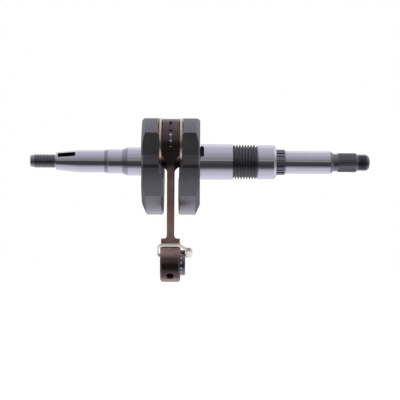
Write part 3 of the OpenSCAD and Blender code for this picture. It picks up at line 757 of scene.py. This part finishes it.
def drive_shaft():
    """The drive side shaft: seats, oil pump worm, spline, long seat, serration and thread."""
    shaft = Turned(1, 288)
    bearing = seat("drive_bearing_seat")
    seal = seat("drive_seal_seat")
    sleeve = seat("variator_sleeve_seat")
    end = corners("drive_side_shaft")[1][0]
    collar_end = WEB_OUT + 1.3
    worm_start, worm_end = bearing[1] + 0.3, seal[0] - 1.0
    groove = sleeve[1] + GROOVE_CONE
    serration = groove + 3.2
    serration_end = serration + SERRATION_LENGTH
    thread = serration_end + 1.6
    dome = thread + DRIVE_THREAD_LENGTH
    shaft.inner_end(SPIGOT_R)
    shaft.rings([(WEB_OUT - 0.1, SPIGOT_R), (WEB_OUT, SPIGOT_R), (WEB_OUT, GROOVE_BY_WEB_R),
                 (WEB_OUT + 0.7, GROOVE_BY_WEB_R), (WEB_OUT + 0.7, COLLAR_R), (collar_end, COLLAR_R),
                 (collar_end, bearing[2]), (bearing[1] - 0.1, bearing[2]), (bearing[1], WORM_R)])
    top, root = WORM_R, WORM_R - WORM_DEPTH
    worm = [(0.0, top - 0.06), (0.06, top), (0.26, top), (0.32, top - 0.06),
            (0.50, root + 0.2), (0.56, root), (0.76, root), (0.82, root + 0.2)]
    shaft.screw(worm_start, worm_end, WORM_PITCH, worm, 0.6, 1.0)
    shaft.rings([(worm_end, 11.3), (seal[0] - 0.4, 11.5)], 0.8)
    shaft.rings([(seal[0], seal[2]), (seal[1] - 0.2, seal[2]), (seal[1], seal[2] - 0.2),
                 (seal[1] + 1.6, 10.0)])
    spline, spline_end = seal[1] + 1.6, sleeve[0] - 1.1
    shaft.rings([(spline, SPLINE_CORE_R)], 0.7)
    shaft.teeth(spline, spline_end, SPLINE_TEETH, SPLINE_R, SPLINE_CORE_R, 0.8)
    shaft.rings([(spline_end, SPLINE_CORE_R)], 0.7)
    shaft.rings([(sleeve[0], sleeve[2]), (sleeve[1], sleeve[2])])
    shaft.rings([(sleeve[1] + 0.01, sleeve[2]), (groove, GROOVE_R), (groove + GROOVE_LENGTH, GROOVE_R),
                 (serration, SERRATION_CORE_R)], 0.9)
    shaft.teeth(serration, serration_end, SERRATION_TEETH, SERRATION_R, SERRATION_CORE_R, 0.8, 0.15)
    shaft.rings([(serration_end, SERRATION_CORE_R), (serration_end + NECK_CONE, NECK_R),
                 (thread, NECK_R)], 0.95)
    shaft.screw(thread, dome, V_THREAD, nut_thread(DRIVE_THREAD_R), 0.4, 0.7)
    height = end - dome
    shaft.rings([(dome + height * math.sin(a), DOME_R * math.cos(a)) for a in QUARTER], 0.9)
    piece = shaft.build("drive_shaft_ground")
    half, corner = POCKET_WIDTH / 2, POCKET_CORNER
    outline = [(-0.4, -half), (POCKET_REACH, -half)]
    outline += [(POCKET_REACH - corner * (1 - math.cos(a)), half - corner * (1 - math.sin(a)))
                for a in QUARTER]
    outline += [(-0.4, half)]
    floor = COLLAR_R - POCKET_DEPTH

    def place(p):
        """Stands the cutter in front of the shaft, beside the web."""
        out, across = floor + 6 + p[:, 2], p[:, 1]
        return np.column_stack([WEB_OUT + 0.001 + np.maximum(p[:, 0], 0),
                                -out * math.cos(POCKET_TILT) + across * math.sin(POCKET_TILT),
                                out * math.sin(POCKET_TILT) + across * math.cos(POCKET_TILT)])

    # the pocket's faces carry 2.0: painted shade, nearly black
    combine(piece, prism("pocket_cutter", outline, 12, place, 2.0))
    return piece


def place_shafts():
    """Both shafts ride on the crank and stand for their CAD nodes."""
    for piece, node in ((flywheel_shaft(), "flywheel_side_shaft"), (drive_shaft(), "drive_side_shaft")):
        piece.data.materials.clear()
        piece.data.materials.append(MATERIALS["ground_steel"])
        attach(piece, "crank")
        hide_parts(node)


# --------------------------------------------------------------- cable tie

SMALL_HALF = corners("connecting_rod")[1][0]
CAGE_END = corners("small_end_cage")[1][0]
STRAP_WIDTH, STRAP_THICK = 2.5, 1.1
STRAP_STEPS = 240
RIB_PITCH, RIB_HEIGHT = 1.15, 0.07
# the leg in the bore keeps inside the rollers' inner circle, and the others clear the eye
INNER_R, EYE_R = 6.7, 13.75
HEAD_LENGTH, HEAD_HEIGHT, HEAD_DEPTH = 4.8, 5.6, 4.8
HEAD_CORNER, HEAD_SOFT_EDGE = 1.5, 0.35
SLOT_FROM, SLOT_TO, SLOT_DEPTH = 2.0, 3.1, 2.7
TIE_TILT = math.radians(57)


def in_tie_plane(x, out, across):
    """Points of the tie's own plane, which holds X and a line that rises to the front."""
    c, s = math.cos(TIE_TILT), math.sin(TIE_TILT)
    return np.stack([x, EYE[1] - out * c + across * s, EYE[2] + out * s + across * c], axis=-1)


def stand_in_tie_plane(p):
    """Stands a prism's points in the tie's plane."""
    return in_tie_plane(p[:, 0], p[:, 1], p[:, 2])


def strap_path(bends, steps=14):
    """A loop of straight runs and round corners. Each bend is (x, out, radius), in turn.

    It returns even points on the loop, and the outward normal of each.
    """
    points, n = [], len(bends)
    for i, (x, out, r) in enumerate(bends):
        here = np.array([x, out])
        back = np.array(bends[i - 1][:2]) - here
        ahead = np.array(bends[(i + 1) % n][:2]) - here
        back, ahead = back / np.hypot(*back), ahead / np.hypot(*ahead)
        half = math.acos(float(np.dot(back, ahead))) / 2
        reach = r / math.tan(half)
        middle = here + (back + ahead) / np.hypot(*(back + ahead)) * r / math.sin(half)
        start, end = here + back * reach - middle, here + ahead * reach - middle
        turn = math.acos(float(np.clip(np.dot(start, end) / r ** 2, -1, 1)))
        for a in np.linspace(0, 1, steps):
            arc = math.sin((1 - a) * turn) * start + math.sin(a * turn) * end
            points.append(middle + arc / math.sin(turn))
    points = np.array(points)
    closed = np.vstack([points, points[:1]])
    lengths = np.concatenate([[0], np.cumsum(np.hypot(*np.diff(closed, axis=0).T))])
    even = np.linspace(0, lengths[-1], STRAP_STEPS + 1)[:-1]
    loop = np.column_stack([np.interp(even, lengths, closed[:, k]) for k in (0, 1)])
    along = np.roll(loop, -1, axis=0) - np.roll(loop, 1, axis=0)
    along /= np.hypot(*along.T)[:, None]
    return loop, np.column_stack([-along[:, 1], along[:, 0]]), even


def cable_tie():
    """The nylon strap, swept round its loop with a ladder of ribs, and its chamfered head."""
    left = -SMALL_HALF - 1.2 - STRAP_THICK / 2
    right = CAGE_END + 0.4 + STRAP_THICK / 2
    low = math.sqrt(INNER_R ** 2 - (STRAP_WIDTH / 2) ** 2) - 0.15 - STRAP_THICK / 2
    high = EYE_R + 0.6 + STRAP_THICK / 2
    loop, normal, even = strap_path([
        (left, low, 1.8), (left, high - 0.4, 3.1), (left + 5.2, high, 9.0),
        (right - 5.0, high, 3.0), (right, high - 3.6, 3.0), (right, low, 1.8)])
    ribs = RIB_HEIGHT * np.clip(2.5 * np.sin(TURN * even / RIB_PITCH), -1, 1)
    w, t, b = STRAP_WIDTH / 2, STRAP_THICK / 2, 0.18
    section = [(-w + b, -t), (w - b, -t), (w, -t + b), (w, t - b), (w - b, t),
               (w - 0.5, t), (w - 0.55, t - 0.12), (-w + 0.55, t - 0.12), (-w + 0.5, t),
               (-w + b, t), (-w, t - b), (-w, -t + b)]
    rows = []
    for across, lift in section:
        ladder = ribs if abs(across) < w - 0.5 and lift > 0 else 0 * ribs
        at = loop + normal * (lift + ladder)[:, None]
        rows.append(in_tie_plane(at[:, 0], at[:, 1], np.full(len(at), across)))
    points = np.array(rows)
    m, n = points.shape[:2]
    index = np.arange(m * n).reshape(m, n)
    turned_rows, turned_columns = np.roll(index, -1, axis=0), np.roll(index, -1, axis=1)
    quads = np.stack([index, turned_columns, np.roll(turned_rows, -1, axis=1), turned_rows], axis=-1)
    strap = make_piece("cable_tie_strap", points.reshape(-1, 3), quads.reshape(-1, 4), np.zeros(m * n))
    face = right - STRAP_THICK / 2
    x0, x1 = face - 0.02, face + HEAD_LENGTH
    middle, tall, c = low + 2.6, HEAD_HEIGHT, HEAD_CORNER
    bottom, top = middle - tall / 2, middle + tall / 2
    outline = [(x0, bottom + 0.5), (x0 + 0.6, bottom), (x1 - c, bottom), (x1, bottom + c),
               (x1, top - c), (x1 - c, top), (x0 + 0.6, top), (x0, top - 0.5)]
    head = prism("tie_head", outline, HEAD_DEPTH, stand_in_tie_plane)
    edge = head.modifiers.new("soft edges", "BEVEL")
    edge.width = HEAD_SOFT_EDGE * MM
    edge.segments = 2
    bpy.context.view_layer.update()
    graph = bpy.context.evaluated_depsgraph_get()
    soft = bpy.data.meshes.new_from_object(head.evaluated_get(graph), depsgraph=graph)
    head.modifiers.clear()
    head.data = soft
    combine(strap, head, "UNION")
    slot = [(x0 + SLOT_FROM, middle + tall), (x0 + SLOT_TO, middle + tall),
            (x0 + SLOT_TO, middle - tall), (x0 + SLOT_FROM, middle - tall)]
    combine(strap, prism("tie_slot", slot, SLOT_DEPTH, stand_in_tie_plane))
    return strap


def place_tie():
    """The tie rides on the rod and stands for its CAD node."""
    piece = cable_tie()
    piece.data.materials.clear()
    piece.data.materials.append(MATERIALS["nylon"])
    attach(piece, "rod")
    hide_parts("cable_tie")


finish_cad_nodes()
place_shafts()
place_tie()
